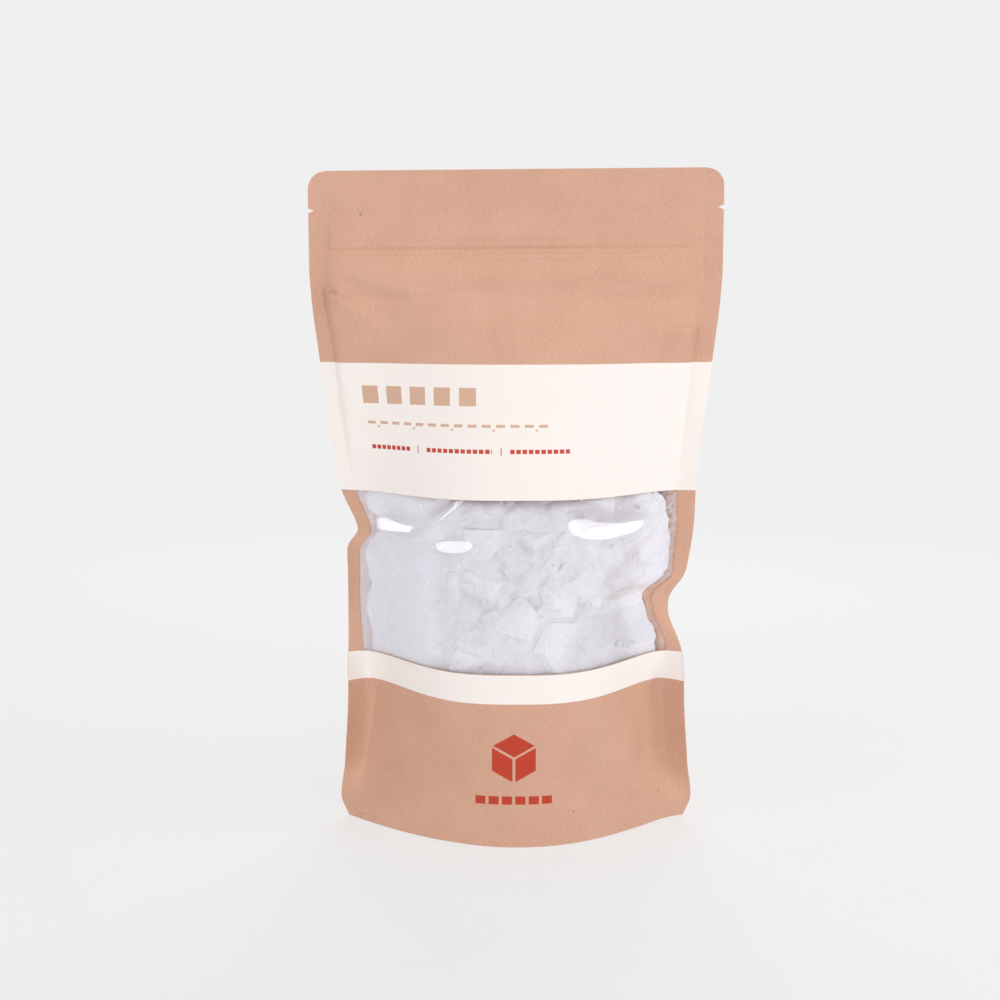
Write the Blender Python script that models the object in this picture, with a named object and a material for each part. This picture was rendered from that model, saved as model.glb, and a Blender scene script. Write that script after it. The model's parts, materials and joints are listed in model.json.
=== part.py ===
"""Stand-up pouch of chunky gymnastics and climbing chalk, standing on its opened base.

Row frame: metres, +Z up, -Y is the side with the window, origin at the centre of the base on the ground.
The pouch is two paper-laminate panels heat-sealed along both sides, with a folded gusset between them as
the base, a clear film behind the window, a press-to-close zip, and a sealed header above two tear notches.
"""

import itertools
import math
import random

import bmesh
import bpy
from mathutils import Vector

# Driving dimensions.
POUCH_HEIGHT = 0.258
SEAL_WIDTH = 0.0075
CORNER_RADIUS = 0.007
NOTCH_Z = 0.243
NOTCH_DEPTH = 0.0022
NOTCH_HALF_HEIGHT = 0.0009
HINGE_Z = 0.196  # where the panels start to flex when the mouth is pulled open
WINDOW_Z = (0.0685, 0.133)
ZIP_Z = 0.2292
ZIP_FLANGE_Z = (0.2262, 0.2362)
ZIP_HALF_LENGTH = 0.065
GUSSET_FOLD_Z = 0.043

# Sheet thicknesses. A meshed sheet needs more body than the real 0.15 mm laminate has.
PAPER = 0.0004
GUSSET_SHEET = 0.0003
FILM = 0.0002
GAP = 0.0003
TEAR_GAP = 0.0004
SEAM_OFFSET = PAPER / 2 + GAP / 2  # a panel's mid surface in the side seal, from the centre plane

# Height, then half the outside width: the sides draw in where the base and the filling push the panels apart.
OUTLINE = [(0.0, 0.0675), (0.009, 0.0705), (0.024, 0.0686), (0.056, 0.0668), (0.1, 0.067), (0.133, 0.0702),
           (0.184, 0.0766), (0.208, 0.0793), (0.222, 0.08), (0.24, 0.08), (0.258, 0.08)]
# Height, then how far the middle of a panel stands out from the side seals.
BULGE = [(0.0, 0.038), (0.035, 0.0402), (0.07, 0.0408), (0.105, 0.0366), (0.133, 0.0308), (0.184, 0.019),
         (0.208, 0.0095), (0.2215, 0.0024), (0.2266, 0.0013), (0.2362, 0.0013), (0.243, 0.0005),
         (0.258, 0.0003)]
# A panel's cross-section is (1 - share**crown)**tuck of its bulge: a higher crown is a flatter middle,
# and a higher tuck a softer run into the side seals. Height, then the value.
CROWN = [(0.0, 2.1), (0.03, 2.6), (0.06, 3.0), (0.135, 3.0), (0.184, 2.4), (0.208, 2.5), (0.2262, 20.0),
         (0.2362, 20.0), (0.258, 8.0)]
TUCK = [(0.0, 1.15), (0.03, 1.6), (0.06, 2.0), (0.135, 2.0), (0.184, 1.5), (0.208, 1.2), (0.2262, 1.0),
        (0.258, 1.0)]
# Where a side seal buckles inwards: side, height, depth and how far it spreads up and down.
BUCKLES = [(-1, 0.119, 0.0055, 0.0085), (1, 0.086, 0.0062, 0.0135)]

PANEL_FOOT_Z = 0.0003  # the panels' lower edges, just clear of the ground that the base rests on
CLEARANCE = 0.0004
BASE_HEM = 0.005  # height of the gusset's seal to a panel in the middle of the base
FLAT_BASE = 0.42  # the gusset lies flat this share of the way to a seam
RISE_POWER = 1.8  # how sharply it rises from there
GUSSET_RISE = GUSSET_FOLD_Z - 0.001  # the base's middle line, at the seams
LEVEL_ACROSS = 0.6  # from front to back the base is level over this share

CHALK_INSET = 0.0012  # chalk to a panel's mid surface, past the film
LUMP_LAYER = 0.0145  # depth of the layer of lumps behind the window
LAYER_Z = (0.054, 0.062)  # where the layer of lumps sets in
LAYER_SHARES = (-0.62, -0.46, 0.75, 0.83)  # where it sets in, is full, thins out and ends, from seam to seam
BED_TOP_Z = 0.122
TUCK_IN_Z = 0.113  # from here up the bed's front and back draw in a little
BED_ROOM = 0.0014  # the bed over the base
BED_REACH = 0.88  # the bed's widest share of the way to the seams

# Centres of the lumps behind the window: share of the way to a seam (below 0 is left) and height.
WINDOW_LUMPS = [(-0.44, 0.0985), (-0.43, 0.113), (-0.18, 0.1005), (-0.19, 0.1175), (-0.01, 0.110),
                (0.08, 0.1195), (0.24, 0.1085), (0.27, 0.0955), (0.50, 0.1155), (0.50, 0.101), (0.70, 0.107),
                (0.69, 0.0875), (0.50, 0.0775), (0.26, 0.0795), (0.02, 0.0855), (-0.24, 0.078),
                (-0.43, 0.0825)]
# Centres of the lumps on top of the filling: share of the way to a seam, and to a panel (below 0: the front).
TOP_LUMPS = [(-0.38, -0.72), (-0.11, -0.77), (0.16, -0.78), (0.44, -0.70), (-0.64, 0.0), (-0.24, 0.34),
             (0.18, 0.36), (0.64, 0.0)]
TOP_LUMP_Z = BED_TOP_Z + 0.0117
TOP_LUMP_REACH = 0.011  # the outer sides of the lumps on top, from their centres
LUMP_BLOCK = 0.03  # the block that each lump is cut from
LUMP_GAP = 0.0006
LUMP_CUTS = (0.0085, 0.0125)  # nearest and farthest of the slanting faces, from a lump's centre
LUMP_SHARES = (-0.44, 0.74)  # side faces of the layer of lumps
LUMP_Z = (0.0625, BED_TOP_Z + 0.0005)  # its lower and upper faces
LUMP_SEED = 11


def through(stations, z):
    """A smooth curve through (z, value) stations, as cubic spans that never swing past a station."""
    if z <= stations[0][0]:
        return stations[0][1]
    if z >= stations[-1][0]:
        return stations[-1][1]
    k = max(i for i in range(len(stations) - 1) if stations[i][0] <= z)

    def chord(i):
        return (stations[i + 1][1] - stations[i][1]) / (stations[i + 1][0] - stations[i][0])

    def slope(i):
        before, after = chord(max(i - 1, 0)), chord(min(i, len(stations) - 2))
        if before * after <= 0:
            return 0.0
        return 2 * before * after / (before + after)

    (z0, v0), (z1, v1) = stations[k], stations[k + 1]
    span = z1 - z0
    t = (z - z0) / span
    return (
        (2 * t**3 - 3 * t**2 + 1) * v0
        + (t**3 - 2 * t**2 + t) * span * slope(k)
        + (3 * t**2 - 2 * t**3) * v1
        + (t**3 - t**2) * span * slope(k + 1)
    )


def seal_edge(z, side):
    """Half the width at this height on one side, before the top corner and the notch are cut."""
    half = through(OUTLINE, z)
    for buckle_side, centre, depth, reach in BUCKLES:
        if side == buckle_side:
            half -= depth * math.exp(-(((z - centre) / reach) ** 2))
    return half


def outer(z, side):
    """Half the outside width, with the rounded top corner and the tear notch."""
    half = seal_edge(z, side)
    above = z - (POUCH_HEIGHT - CORNER_RADIUS)
    if above > 0:
        half -= CORNER_RADIUS - math.sqrt(max(CORNER_RADIUS**2 - above**2, 0.0))
    off_notch = abs(z - NOTCH_Z) / NOTCH_HALF_HEIGHT
    return half - NOTCH_DEPTH * max(0.0, 1 - off_notch)


def seam(z, side):
    """Half the width between the side seals."""
    return seal_edge(z, side) - SEAL_WIDTH


def wall(x, z):
    """How far a panel's mid surface stands from the centre plane."""
    share = min(1.0, abs(x) / seam(z, 1 if x > 0 else -1))
    section = (1 - share ** through(CROWN, z)) ** through(TUCK, z)
    return SEAM_OFFSET + through(BULGE, z) * section


def inside(x, z, inset):
    """The distance from the centre plane of a surface parallel to the panel, this far inside it."""
    step = 0.0002
    lean_x = (wall(x + step, z) - wall(x - step, z)) / (2 * step)
    lean_z = (wall(x, z + step) - wall(x, z - step)) / (2 * step)
    return wall(x, z) - inset * math.sqrt(1 + lean_x**2 + lean_z**2)


def spread(low, high, count):
    """This many evenly spaced values from low to high."""
    return [low + (high - low) * i / (count - 1) for i in range(count)]


def material(name, colour, roughness, alpha=1.0):
    made = bpy.data.materials.get(name)
    if made is None:
        made = bpy.data.materials.new(name)
        made.use_nodes = True
        shader = made.node_tree.nodes["Principled BSDF"]
        shader.inputs["Base Color"].default_value = (*colour, 1)
        shader.inputs["Roughness"].default_value = roughness
        shader.inputs["Metallic"].default_value = 0.0
        shader.inputs["Alpha"].default_value = alpha
    return made


def kraft():
    return material("kraft_laminate", (0.68, 0.40, 0.28), 0.75)


def clear_film():
    return material("clear_film", (0.9, 0.9, 0.92), 0.12, 0.3)


def zip_plastic():
    return material("zip_plastic", (0.86, 0.84, 0.80), 0.35)


def chalk():
    return material("chalk", (0.86, 0.85, 0.88), 0.95)


def add_object(name, bm, finish):
    mesh = bpy.data.meshes.new(name)
    bm.normal_update()
    bm.to_mesh(mesh)
    bm.free()
    mesh.materials.append(finish)
    made = bpy.data.objects.new(name, mesh)
    bpy.context.scene.collection.objects.link(made)
    return made


def shade_smooth(made, angle_deg=40):
    made.data.shade_smooth()
    made.data.set_sharp_from_angle(angle=math.radians(angle_deg))


def sheet(name, points, finish, thickness, keep=lambda row, column: True):
    """A sheet through a grid of mid-surface points, given thickness. keep says which cells are material."""
    bm = bmesh.new()
    grid = [[bm.verts.new(point) for point in row] for row in points]
    for i in range(len(grid) - 1):
        for j in range(len(grid[i]) - 1):
            if keep(i, j):
                bm.faces.new((grid[i][j], grid[i][j + 1], grid[i + 1][j + 1], grid[i + 1][j]))
    loose = [vert for vert in bm.verts if not vert.link_faces]
    bmesh.ops.delete(bm, geom=loose, context="VERTS")
    made = add_object(name, bm, finish)
    solid = made.modifiers.new("Thickness", "SOLIDIFY")
    solid.thickness = thickness
    solid.offset = 0.0
    solid.use_even_offset = True
    shade_smooth(made)
    return made


INNER_COLUMNS = [0.12, 0.26, 0.40, 0.54, 0.67, 0.79, 0.88, 0.94, 0.98]


def panel_columns(z):
    """x across one panel at this height: both side seals, and points between them closer near the seams."""
    left = [-outer(z, -1), -seam(z, -1)] + [-share * seam(z, -1) for share in reversed(INNER_COLUMNS)]
    right = [share * seam(z, 1) for share in INNER_COLUMNS] + [seam(z, 1), outer(z, 1)]
    return left + [0.0] + right


def panel_points(facing, heights):
    return [[(x, facing * wall(x, z), z) for x in panel_columns(z)] for z in heights]


def lip_points(facing, heights):
    """The part of a panel that swings: all between the side seals, with a little room beside them."""
    rows = []
    for z in heights:
        columns = panel_columns(z)[1:-1]
        columns[0] += CLEARANCE
        columns[-1] -= CLEARANCE
        rows.append([(x, facing * wall(x, z), z) for x in columns])
    return rows


def body_heights():
    """Heights of the panel's rows, with rows at both edges of the window and at the hinge line."""
    low = [PANEL_FOOT_Z, 0.003, 0.009, 0.018, 0.028, 0.038, 0.048, 0.057, 0.064]
    window = spread(WINDOW_Z[0], WINDOW_Z[1], 9)
    high = spread(0.141, HINGE_Z - TEAR_GAP, 6)
    return low + window + high


def seal_heights():
    """Rows of the side seals beside the lips, up to the notch."""
    notch = [NOTCH_Z - NOTCH_HALF_HEIGHT, NOTCH_Z - TEAR_GAP / 2]
    return [HINGE_Z + 0.006, 0.208, 0.2145, 0.2215, 0.232] + notch


def make_panel(name, facing, has_window):
    body = body_heights()
    heights = body + seal_heights()
    columns = len(panel_columns(0.0)) - 1
    window_rows = (body.index(WINDOW_Z[0]), body.index(WINDOW_Z[1]))

    def keep(row, column):
        if row >= len(body) - 1:
            return column in (0, columns - 1)
        in_window = window_rows[0] <= row < window_rows[1] and 1 < column < columns - 2
        return not (has_window and in_window)

    return sheet(name, panel_points(facing, heights), kraft(), PAPER, keep)


def make_lip(name, facing):
    heights = [HINGE_Z, 0.202, 0.208, 0.2145, 0.2215, 0.2262, 0.2362, NOTCH_Z - TEAR_GAP / 2]
    return sheet(name, lip_points(facing, heights), kraft(), PAPER)


def make_header_layer(name, facing):
    arc = [
        POUCH_HEIGHT - CORNER_RADIUS + CORNER_RADIUS * math.sin(math.radians(angle))
        for angle in (0, 22, 44, 62, 78)
    ]
    heights = [NOTCH_Z + TEAR_GAP / 2, NOTCH_Z + NOTCH_HALF_HEIGHT, 0.2465] + arc + [POUCH_HEIGHT]
    return sheet(name, panel_points(facing, heights), kraft(), PAPER)


def gusset_rise(share, start=FLAT_BASE):
    """0 over the flat middle of the base, and 1 at the side seams, where the gusset stays folded."""
    return max(0.0, (abs(share) - start) / (1 - start)) ** RISE_POWER


def gusset_floor(share, across):
    """Height of the base: share runs from seam to seam, across from the front seal to the back one."""
    centre = GUSSET_SHEET / 2 + GUSSET_RISE * gusset_rise(share)
    edge = BASE_HEM + (GUSSET_FOLD_Z - BASE_HEM) * gusset_rise(share, 0.2)
    lift = max(0.0, (abs(across) - LEVEL_ACROSS) / (1 - LEVEL_ACROSS)) ** 2
    return centre + (edge - centre) * lift


def gusset_column(share):
    """Points along the gusset from the front edge on the ground, up, over the base and down again."""
    inset = PAPER / 2 + GAP + GUSSET_SHEET / 2
    side = 1 if share > 0 else -1
    seal_top = gusset_floor(share, 1.0)
    points = []
    for facing in (-1, 1):
        half = []
        for z in spread(PANEL_FOOT_Z, seal_top, 4):
            x = share * seam(z, side)
            half.append((x, facing * inside(x, z, inset), z))
        points.append(half)
    x_top = share * seam(seal_top, side)
    reach = inside(x_top, seal_top, inset)
    base = []
    for across in (-0.85, -0.72, -0.6, -0.3, 0.0, 0.3, 0.6, 0.72, 0.85):
        z = gusset_floor(share, across)
        base.append((share * seam(z, side), across * reach, z))
    return points[0] + base + points[1][::-1]


def make_gusset():
    half = INNER_COLUMNS[:-1] + [0.965]
    shares = [-share for share in reversed(half)] + [0.0] + half
    return sheet("bottom_gusset", [gusset_column(share) for share in shares], kraft(), GUSSET_SHEET)


def make_film():
    margin = 0.006
    inset = PAPER / 2 + GAP + FILM / 2
    half = INNER_COLUMNS[:-1] + [0.974]
    shares = [-share for share in reversed(half)] + [0.0] + half
    rows = []
    for z in spread(WINDOW_Z[0] - margin, WINDOW_Z[1] + margin, 11):
        columns = [share * seam(z, 1 if share > 0 else -1) for share in shares]
        rows.append([(x, -inside(x, z, inset), z) for x in columns])
    return sheet("window_film", rows, clear_film(), FILM)


def extruded_profile(name, outline, half_length, finish):
    """A bar along X with this closed (y, z) outline."""
    bm = bmesh.new()
    first = [bm.verts.new((-half_length, y, z)) for y, z in outline]
    face = bm.faces.new(first)
    grown = bmesh.ops.extrude_face_region(bm, geom=[face])
    moved = [item for item in grown["geom"] if isinstance(item, bmesh.types.BMVert)]
    bmesh.ops.translate(bm, vec=(2 * half_length, 0, 0), verts=moved)
    bmesh.ops.recalc_face_normals(bm, faces=bm.faces)
    return add_object(name, bm, finish)


ZIP_FLANGE_Y = (0.0008, 0.0011)  # inner and outer face of each zip strip's flange
RIB_HALF, RIB_TIP = 0.00035, 0.0005
GROOVE_HALF, JAW, JAW_TIP = 0.00085, 0.0005, -0.00025


def make_zip_rib():
    low, high = ZIP_FLANGE_Z
    near, far = ZIP_FLANGE_Y
    outline = [(-far, low), (-near, low), (-near, ZIP_Z - RIB_HALF), (RIB_TIP, ZIP_Z - RIB_HALF),
               (RIB_TIP, ZIP_Z + RIB_HALF), (-near, ZIP_Z + RIB_HALF), (-near, high), (-far, high)]
    return extruded_profile("zip_rib_strip", outline, ZIP_HALF_LENGTH, zip_plastic())


def make_zip_groove():
    low, high = ZIP_FLANGE_Z
    near, far = ZIP_FLANGE_Y
    jaw = GROOVE_HALF + JAW
    outline = [(far, low), (far, high), (near, high), (near, ZIP_Z + jaw), (JAW_TIP, ZIP_Z + jaw),
               (JAW_TIP, ZIP_Z + GROOVE_HALF), (near, ZIP_Z + GROOVE_HALF), (near, ZIP_Z - GROOVE_HALF),
               (JAW_TIP, ZIP_Z - GROOVE_HALF), (JAW_TIP, ZIP_Z - jaw), (near, ZIP_Z - jaw), (near, low)]
    return extruded_profile("zip_groove_strip", outline, ZIP_HALF_LENGTH, zip_plastic())


def ramp(low, high, value):
    """0 below low, 1 above high, and in proportion between them."""
    return min(1.0, max(0.0, (value - low) / (high - low)))


def at_share(share, z):
    """x at this share of the way to a side seam, on the side of the share's sign."""
    return share * seam(z, 1 if share > 0 else -1)


def share_at(x, z):
    return x / seam(z, 1 if x > 0 else -1)


def lump_room(share, z):
    """How much of the layer of lumps there is here: none low down, at the powdery left or at the seams."""
    starts, full, thins, ends = LAYER_SHARES
    return ramp(starts, full, share) * (1 - ramp(thins, ends, share)) * ramp(*LAYER_Z, z)


def bed_side(x, z):
    """Half the bed's depth where it lies against a panel, with more room at the creased seams."""
    return inside(x, z, CHALK_INSET + 0.0012 * ramp(0.8, 0.92, abs(share_at(x, z))))


def bed_front(x, z):
    """Distance of the bed's front from the centre plane: against the film, or behind the lumps."""
    side = bed_side(x, z)
    return side - min(LUMP_LAYER * lump_room(share_at(x, z), z), 1.05 * side)


def bed_reach(z):
    """The share of the way to the seams that the bed goes: low down it stops at the rising gusset."""
    spare = max(0.0, z - BED_ROOM - GUSSET_SHEET / 2) / GUSSET_RISE
    return min(BED_REACH, FLAT_BASE + (1 - FLAT_BASE) * spare ** (1 / RISE_POWER))


def bed_half_depth(share, z, half_depth):
    """This half depth, or less where the gusset's front and back edges rise under the bed."""
    centre, edge = gusset_floor(share, 0.0), gusset_floor(share, 1.0)
    lift = ramp(centre, edge, z - BED_ROOM)
    if lift == 1.0:
        return half_depth
    across = LEVEL_ACROSS + (1 - LEVEL_ACROSS) * math.sqrt(lift)
    reach = inside(at_share(share, edge), edge, CHALK_INSET)
    return min(half_depth, across * reach - 2 * CLEARANCE)


def make_powder_bed():
    """The crushed chalk that fills the pouch, as stacked rings that follow the panels and the base."""
    places = [-1.0, -0.88, -0.705, -0.523, -0.35, -0.18, 0.0, 0.18, 0.35, 0.52, 0.7, 0.85, 0.94, 1.0]
    low = [BED_ROOM + CLEARANCE, 0.005, 0.010, 0.018, 0.028, 0.040]
    high = [0.070, 0.081, 0.092, 0.103, TUCK_IN_Z, BED_TOP_Z]
    bm = bmesh.new()
    rings = []
    for z in low + list(LAYER_Z) + high:
        tuck = 1 - 0.12 * ramp(TUCK_IN_Z, BED_TOP_Z, z)
        front, back = [], []
        for place in places:
            share = place * bed_reach(z)
            x = at_share(share, z)
            front.append((x, -bed_half_depth(share, z, bed_front(x, z)) * tuck, z))
            back.append((x, bed_half_depth(share, z, bed_side(x, z)) * tuck, z))
        rings.append([bm.verts.new(point) for point in front + back[::-1]])
    for low, high in zip(rings, rings[1:]):
        for k in range(len(low)):
            following = (k + 1) % len(low)
            bm.faces.new((low[k], low[following], high[following], high[k]))
    count = len(places)
    for ring in (rings[0], rings[-1]):
        for k in range(count - 1):
            bm.faces.new((ring[k], ring[k + 1], ring[2 * count - 2 - k], ring[2 * count - 1 - k]))
    bmesh.ops.recalc_face_normals(bm, faces=bm.faces)
    shade_smooth(add_object("chalk_powder_bed", bm, chalk()), 60)


def wall_plane(x, z, inset, facing=-1):
    """(point, outward normal) of the plane along the front or back panel at x, z, this far inside it."""
    step = 0.0005
    lean_x = (wall(x + step, z) - wall(x - step, z)) / (2 * step)
    lean_z = (wall(x, z + step) - wall(x, z - step)) / (2 * step)
    normal = Vector((-lean_x, facing, -lean_z)).normalized()
    return Vector((x, facing * wall(x, z), z)) - normal * inset, normal


def cut_lump(centre, planes):
    """A convex lump round a centre: a block that each (point, outward normal) plane has cut."""
    bm = bmesh.new()
    bmesh.ops.create_cube(bm, size=LUMP_BLOCK)
    bmesh.ops.translate(bm, vec=centre, verts=bm.verts)
    for point, normal in planes:
        cut = bmesh.ops.bisect_plane(
            bm, geom=bm.verts[:] + bm.edges[:] + bm.faces[:], dist=1e-6,
            plane_co=point, plane_no=normal, clear_outer=True,
        )
        edges = [item for item in cut["geom_cut"] if isinstance(item, bmesh.types.BMEdge)]
        if edges:
            bmesh.ops.contextual_create(bm, geom=edges)
    bmesh.ops.remove_doubles(bm, verts=bm.verts, dist=CLEARANCE)
    bmesh.ops.delete(bm, geom=bm.edges[:], context="EDGES_FACES")
    hull = bmesh.ops.convex_hull(bm, input=bm.verts[:])
    within = hull["geom_interior"] + hull["geom_unused"]
    unused = [item for item in within if isinstance(item, bmesh.types.BMVert)]
    bmesh.ops.delete(bm, geom=unused, context="VERTS")
    bmesh.ops.recalc_face_normals(bm, faces=bm.faces)
    return bm


def lump_centres():
    """(centre, whether it is behind the window) of each lump: the layer at the window, then the top ones."""
    centres = []
    for share, z in WINDOW_LUMPS:
        x = at_share(share, z)
        centres.append((Vector((x, -wall(x, z) + CHALK_INSET + LUMP_LAYER / 2, z)), True))
    for share, across in TOP_LUMPS:
        x = at_share(share, TOP_LUMP_Z)
        centres.append((Vector((x, across * wall(x, TOP_LUMP_Z), TOP_LUMP_Z)), False))
    return centres


def neighbour_planes(centre, others):
    """Planes halfway to each near lump."""
    planes = []
    for other in others:
        away = other - centre
        if 0 < away.length < 2 * LUMP_BLOCK:
            planes.append((centre + away / 2 - away.normalized() * LUMP_GAP / 2, away.normalized()))
    return planes


def panel_planes(centre, facings):
    """Planes that keep a lump inside the panels, at and around its centre."""
    inset = CHALK_INSET + CLEARANCE
    steps = (-0.3 * LUMP_BLOCK, 0, 0.3 * LUMP_BLOCK)
    return [
        wall_plane(centre.x + dx, centre.z + dz, inset, facing)
        for facing in facings for dx, dz in itertools.product(steps, repeat=2)
    ]


def layer_planes(centre):
    """Planes that keep a lump in the layer behind the window: off the bed, and inside its four sides."""
    left, right = LUMP_SHARES
    low, high = LUMP_Z
    planes = [
        (Vector((0, 0, high)), Vector((0, 0, 1))),
        (Vector((0, 0, low)), Vector((0, 0, -1))),
        (Vector((at_share(left, centre.z), 0, 0)), Vector((-1, 0, 0))),
        (Vector((at_share(right, centre.z), 0, 0)), Vector((1, 0, 0))),
    ]
    for dx, dz in itertools.product((-0.008, 0, 0.008), (-0.014, 0, 0.014)):
        z = min(BED_TOP_Z, max(LAYER_Z[1], centre.z + dz))
        x = min(at_share(right, z), max(at_share(left, z), centre.x + dx))
        outward = wall_plane(x, z, 0.0)[1]
        planes.append((Vector((x, -bed_front(x, z), z)) + outward * 2 * CLEARANCE, -outward))
    return planes


def top_planes(centre, dice):
    """Planes that keep a lump on top of the bed, and end it above and on its outer side."""
    outward = Vector((1 if centre.x > 0 else -1, 0, 0))
    return [
        (Vector((0, 0, LUMP_Z[1] + LUMP_GAP)), Vector((0, 0, -1))),
        (Vector((0, 0, centre.z + dice.uniform(0.008, 0.012))), Vector((0, 0, 1))),
        (centre + outward * TOP_LUMP_REACH, outward),
    ]


def make_lumps():
    """Broken lumps of pressed chalk: the cells between scattered centres, kept off the walls and the bed."""
    dice = random.Random(LUMP_SEED)
    lumps = lump_centres()
    centres = [centre for centre, _ in lumps]
    for number, (centre, at_window) in enumerate(lumps, start=1):
        planes = neighbour_planes(centre, centres) + panel_planes(centre, (-1,) if at_window else (-1, 1))
        planes += layer_planes(centre) if at_window else top_planes(centre, dice)
        for _ in range(4):
            lean = Vector((dice.gauss(0, 1), dice.gauss(0, 1), dice.gauss(0, 1))).normalized()
            planes.append((centre + lean * dice.uniform(*LUMP_CUTS), lean))
        add_object(f"chalk_lump_{number:02d}", cut_lump(centre, planes), chalk())


def pivot(name, location):
    """An empty on a joint's axis, which carries the pieces that swing there."""
    made = bpy.data.objects.new(name, None)
    made.location = location
    bpy.context.scene.collection.objects.link(made)
    return made


def hang(pivot_empty, *pieces):
    """Parents pieces to a pivot and leaves them where they are."""
    for piece in pieces:
        piece.parent = pivot_empty
        piece.location = -pivot_empty.location


def main():
    for old in list(bpy.data.objects):
        bpy.data.objects.remove(old)
    make_panel("front_panel", -1, True)
    make_panel("back_panel", 1, False)
    make_gusset()
    make_film()
    hinge_y = wall(0.0, HINGE_Z)
    front_axis = pivot("front_lip_axis", (0, -hinge_y, HINGE_Z))
    hang(front_axis, make_lip("front_lip", -1), make_zip_rib())
    back_axis = pivot("back_lip_axis", (0, hinge_y, HINGE_Z))
    hang(back_axis, make_lip("back_lip", 1), make_zip_groove())
    notch_tip = seal_edge(NOTCH_Z, 1) - NOTCH_DEPTH
    tear_end = pivot("header_tear_axis", (notch_tip, 0, NOTCH_Z))
    hang(tear_end, make_header_layer("header_front_layer", -1), make_header_layer("header_back_layer", 1))
    make_powder_bed()
    make_lumps()


main()
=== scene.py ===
"""The looks of a stand-up pouch of chunky grip chalk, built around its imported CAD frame.

Metres, +Z up, -Y is the side with the window. Every sheet of the pouch is one fine grid over the form of the
CAD panels, with the paper's creases, flares and seams added, cut where the bodies part.
"""

import json
import math
import random

import bmesh
import bpy
import numpy as np
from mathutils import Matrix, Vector


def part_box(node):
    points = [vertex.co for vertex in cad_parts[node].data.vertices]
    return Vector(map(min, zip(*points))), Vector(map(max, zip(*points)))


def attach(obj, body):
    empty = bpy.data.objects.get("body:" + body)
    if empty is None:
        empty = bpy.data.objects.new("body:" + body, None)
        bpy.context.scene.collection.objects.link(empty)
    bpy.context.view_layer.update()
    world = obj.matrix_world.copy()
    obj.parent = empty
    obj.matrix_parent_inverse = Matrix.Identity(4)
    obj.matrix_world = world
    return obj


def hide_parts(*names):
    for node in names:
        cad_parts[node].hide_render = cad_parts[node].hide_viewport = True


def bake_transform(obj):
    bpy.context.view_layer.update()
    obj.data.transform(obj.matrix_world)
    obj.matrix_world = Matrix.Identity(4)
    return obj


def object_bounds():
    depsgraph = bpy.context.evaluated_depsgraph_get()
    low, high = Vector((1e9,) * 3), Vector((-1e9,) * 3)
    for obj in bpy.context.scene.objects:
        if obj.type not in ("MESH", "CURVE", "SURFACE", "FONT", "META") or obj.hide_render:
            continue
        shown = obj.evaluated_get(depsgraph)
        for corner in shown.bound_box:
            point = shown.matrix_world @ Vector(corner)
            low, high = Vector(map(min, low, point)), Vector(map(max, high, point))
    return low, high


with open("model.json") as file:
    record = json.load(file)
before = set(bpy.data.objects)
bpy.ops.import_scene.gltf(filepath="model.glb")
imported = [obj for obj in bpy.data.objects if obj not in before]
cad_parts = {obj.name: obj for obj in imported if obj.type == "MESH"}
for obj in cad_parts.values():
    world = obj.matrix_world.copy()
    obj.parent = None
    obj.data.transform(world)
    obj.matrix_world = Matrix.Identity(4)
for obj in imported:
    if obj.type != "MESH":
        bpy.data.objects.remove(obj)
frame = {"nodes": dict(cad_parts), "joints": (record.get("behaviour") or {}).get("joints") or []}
cad_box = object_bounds()

# --- the pouch's form: the stations of the CAD design, in metres ---

HEIGHT, HALF_WIDTH = cad_box[1].z, cad_box[1].x
JOINTS = {joint["name"]: joint for joint in frame["joints"]}
HINGE_Z = JOINTS["front_lip_open"]["pos_m"][2]
NOTCH_Z = JOINTS["header_tear"]["pos_m"][2]
FOOT_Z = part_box("front_panel")[0].z
ZIP_LOW, ZIP_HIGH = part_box("zip_rib_strip")[0].z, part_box("zip_rib_strip")[1].z
ZIP_Z = 0.2292
ZIP_HALF = 0.0725
CORNER_RADIUS = 0.007
NOTCH_DEPTH, NOTCH_HALF = 0.0022, 0.0009
WINDOW = (0.0685, 0.133)
GUSSET_FOLD_Z = 0.043
PAPER, INNER_PAPER, FILM = 0.00034, 0.00028, 0.00012
MIDDLE = 0.0003  # a panel's mid surface from the centre plane, where the panels are sealed together

# Height, then half the outside width, the bulge at the middle, and the two powers that shape a section.
OUTLINE = [(0.0, 0.0675), (0.009, 0.0705), (0.024, 0.0686), (0.056, 0.0668), (0.1, 0.067), (0.133, 0.0702),
           (0.184, 0.0766), (0.208, 0.0793), (0.222, 0.08), (0.24, 0.08), (0.258, 0.08)]
BULGE = [(0.0, 0.038), (0.035, 0.0402), (0.07, 0.0408), (0.105, 0.0366), (0.133, 0.0308), (0.184, 0.019),
         (0.208, 0.0095), (0.2215, 0.0024), (0.2266, 0.0013), (0.2362, 0.0013), (0.243, 0.0005),
         (0.258, 0.0003)]
CROWN = [(0.0, 2.1), (0.03, 2.6), (0.06, 3.0), (0.135, 3.0), (0.184, 2.4), (0.208, 2.5), (0.2262, 20.0),
         (0.2362, 20.0), (0.258, 8.0)]
TUCK = [(0.0, 1.15), (0.03, 1.6), (0.06, 2.0), (0.135, 2.0), (0.184, 1.5), (0.208, 1.2), (0.2262, 1.0),
        (0.258, 1.0)]
# Where a side seal buckles: side, height, depth inwards, then (spread, sharpness) below and above it.
BUCKLES = [
    (-1, 0.1173, 0.0055, (0.0050, 2.0), (0.0125, 1.8)),
    (1, 0.0850, 0.0062, (0.0113, 2.0), (0.0109, 3.0)),
    (1, 0.1160, -0.0018, (0.0160, 2.0), (0.0160, 2.0)),
]
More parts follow.
